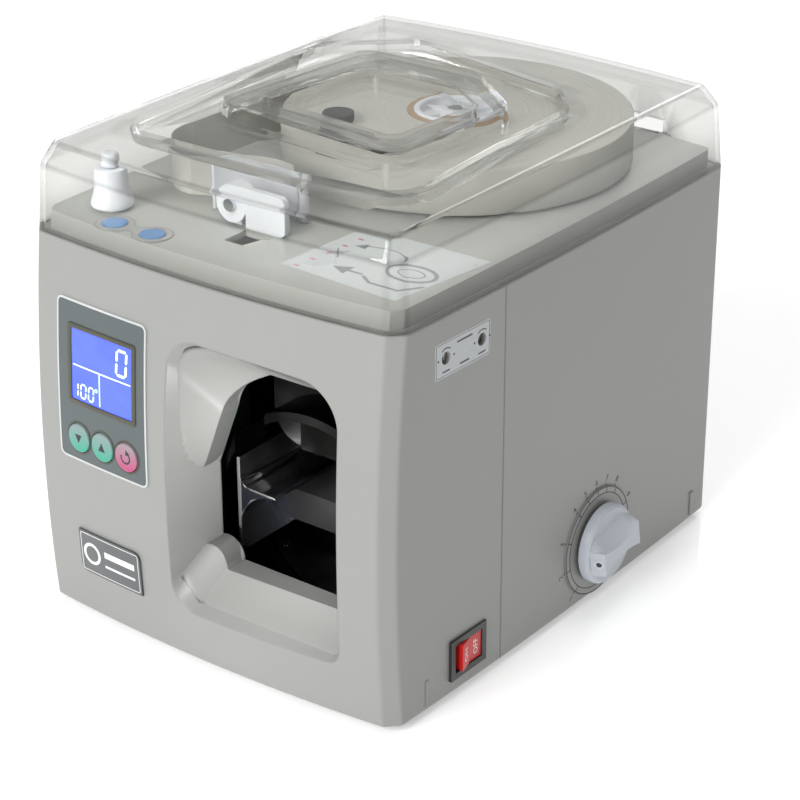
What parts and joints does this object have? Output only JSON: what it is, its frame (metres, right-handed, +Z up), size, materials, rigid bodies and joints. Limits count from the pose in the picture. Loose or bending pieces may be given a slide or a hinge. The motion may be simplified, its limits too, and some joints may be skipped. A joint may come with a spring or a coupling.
{
  "type": "banknote bundling machine",
  "caption": "Desktop machine that straps a bundle of banknotes with paper tape: front mouth, keys and display, clear hinged lid over a tape roll, depth dial on the side.",
  "frame": {"origin": "middle of the whole outline with the dial knob, on the surface that the feet stand on", "axes": "+Z up, the front with the mouth and the keys faces -Y, the dial is on the +X side"},
  "size_m": [0.22, 0.2613, 0.2199],
  "materials": {
    "casing": "fine satin moulding, light warm grey",
    "deck": "satin moulding, grey beige",
    "clear_lid": "clear slightly smoky moulded plastic",
    "steel_plate": "plain rolled sheet",
    "bright_steel": "polished",
    "paper": "wound paper tape",
    "cardboard": "grey brown cardboard",
    "white_plastic": "semi gloss moulding",
    "black_plastic": "semi gloss moulding",
    "dark_bezel": "satin",
    "panel_grey": "printed film, satin",
    "display": "lit blue display behind a clear window",
    "green_key": "silicone key",
    "red_key": "silicone key",
    "blue_key": "film key",
    "red_rocker": "glossy red",
    "board_green": "circuit board lacquer",
    "rubber": "matt",
    "plate_metal": "brushed, dark",
    "scale_film": "printed film",
    "brass": "turned",
    "motor_metal": "zinc plated can",
    "ceramic": "heat resistant moulding",
    "acetal": "natural acetal"
  },
  "bodies": {
    "casing": {"front_cover": "casing", "rear_cover": "casing", "base_plate": "steel_plate", "rubber_feet": "rubber", "top_deck": "deck", "touch_board": "board_green", "lid_hinge_pins": "bright_steel", "roll_spindle": "bright_steel", "guide_roller_post": "white_plastic", "tape_guide_block": "white_plastic", "tape_guide_arc": "white_plastic", "tape_lead": "paper", "control_overlay": "panel_grey", "display_bezel": "dark_bezel", "lcd_module": "display", "panel_board": "board_green", "name_plate": "plate_metal", "trimmer_pots": "black_plastic", "switch_frame": "black_plastic", "dial_plate": "scale_film", "front_frame": "steel_plate", "rear_frame": "steel_plate", "frame_spacers": "steel_plate", "machine_screws": "bright_steel", "tape_arch": "bright_steel", "note_guide": "bright_steel", "heater_block": "ceramic", "guide_rods": "bright_steel", "top_bracket": "steel_plate", "drive_motors": "motor_metal", "feed_bracket": "steel_plate", "stop_brackets": "steel_plate", "pcb_bracket": "steel_plate", "main_board": "board_green", "power_supply": "steel_plate", "power_inlet": "black_plastic"},
    "lid": {"clear_lid": "clear_lid", "roll_hold_down_pad": "black_plastic"},
    "roll": {"tape_roll": "paper", "roll_core": "cardboard", "roll_hub": "white_plastic"},
    "guide_cone": {"guide_roller": "white_plastic"},
    "key_down": {"button_down": "green_key"},
    "key_up": {"button_up": "green_key"},
    "key_reset": {"button_reset": "red_key"},
    "touch_left": {"touch_button_left": "blue_key"},
    "touch_right": {"touch_button_right": "blue_key"},
    "mains_rocker": {"rocker": "red_rocker"},
    "trimmer_front": {"trimmer_screw_front": "black_plastic"},
    "trimmer_rear": {"trimmer_screw_rear": "black_plastic"},
    "depth_dial": {"dial_knob": "white_plastic", "dial_shaft": "brass"},
    "depth_stop": {"back_stop": "acetal"},
    "press": {"press_head": "black_plastic", "press_rack": "steel_plate", "cutter_blade": "bright_steel"},
    "press_gear": {"press_pinion": "steel_plate"},
    "feed": {"feed_roller": "rubber"},
    "pinch": {"pinch_roller": "rubber"}
  },
  "joints": [
    {"name": "lid_hinge", "type": "hinge", "parent": "casing", "child": "lid", "pos_m": [-0.01, 0.1273, 0.1826], "axis": [-1, 0, 0], "range_deg": [0, 95]},
    {"name": "roll_spin", "type": "hinge", "parent": "casing", "child": "roll", "pos_m": [-0.002, 0.043, 0.197], "axis": [0, 0, 1], "continuous": true},
    {"name": "guide_cone_spin", "type": "hinge", "parent": "casing", "child": "guide_cone", "pos_m": [-0.081, -0.095, 0.195], "axis": [0, 0, 1], "continuous": true},
    {"name": "key_down_press", "type": "slide", "parent": "casing", "child": "key_down", "axis": [0, 1, 0], "range_m": [0, 0.0008], "stiffness_N_per_m": 900},
    {"name": "key_up_press", "type": "slide", "parent": "casing", "child": "key_up", "axis": [0, 1, 0], "range_m": [0, 0.0008], "stiffness_N_per_m": 900},
    {"name": "key_reset_press", "type": "slide", "parent": "casing", "child": "key_reset", "axis": [0, 1, 0], "range_m": [0, 0.0008], "stiffness_N_per_m": 900},
    {"name": "touch_left_press", "type": "slide", "parent": "casing", "child": "touch_left", "axis": [0, 0, -1], "range_m": [0, 0.0004], "stiffness_N_per_m": 1500},
    {"name": "touch_right_press", "type": "slide", "parent": "casing", "child": "touch_right", "axis": [0, 0, -1], "range_m": [0, 0.0004], "stiffness_N_per_m": 1500},
    {"name": "rocker_tilt", "type": "hinge", "parent": "casing", "child": "mains_rocker", "pos_m": [0.0825, -0.07275, 0.0195], "axis": [0, 0, 1], "range_deg": [-16, 0]},
    {"name": "trimmer_front_turn", "type": "hinge", "parent": "casing", "child": "trimmer_front", "pos_m": [0.085, -0.089, 0.16], "axis": [1, 0, 0], "range_deg": [-135, 135]},
    {"name": "trimmer_rear_turn", "type": "hinge", "parent": "casing", "child": "trimmer_rear", "pos_m": [0.085, -0.0653, 0.16], "axis": [1, 0, 0], "range_deg": [-135, 135]},
    {"name": "dial_turn", "type": "hinge", "parent": "casing", "child": "depth_dial", "pos_m": [0.08, 0.0245, 0.03], "axis": [1, 0, 0], "range_deg": [-191, 12.5]},
    {"name": "stop_slide", "type": "slide", "parent": "casing", "child": "depth_stop", "axis": [0, 1, 0], "range_m": [-0.0015, 0.0233]},
    {"name": "press_slide", "type": "slide", "parent": "casing", "child": "press", "axis": [0, 0, -1], "range_m": [0, 0.012]},
    {"name": "press_gear_turn", "type": "hinge", "parent": "casing", "child": "press_gear", "pos_m": [0.03, -0.03, 0.122], "axis": [0, -1, 0], "range_deg": [0, 116]},
    {"name": "feed_spin", "type": "hinge", "parent": "casing", "child": "feed", "pos_m": [-0.004, -0.08, 0.165], "axis": [0, 1, 0], "continuous": true},
    {"name": "pinch_spin", "type": "hinge", "parent": "casing", "child": "pinch", "pos_m": [-0.019, -0.08, 0.165], "axis": [0, 1, 0], "continuous": true}
  ],
  "couplings": [
    {"joint": "dial_turn", "follows": "stop_slide", "rad_per_m": -142.86},
    {"joint": "press_gear_turn", "follows": "press_slide", "rad_per_m": 166.67},
    {"joint": "pinch_spin", "follows": "feed_spin", "ratio": -1}
  ]
}
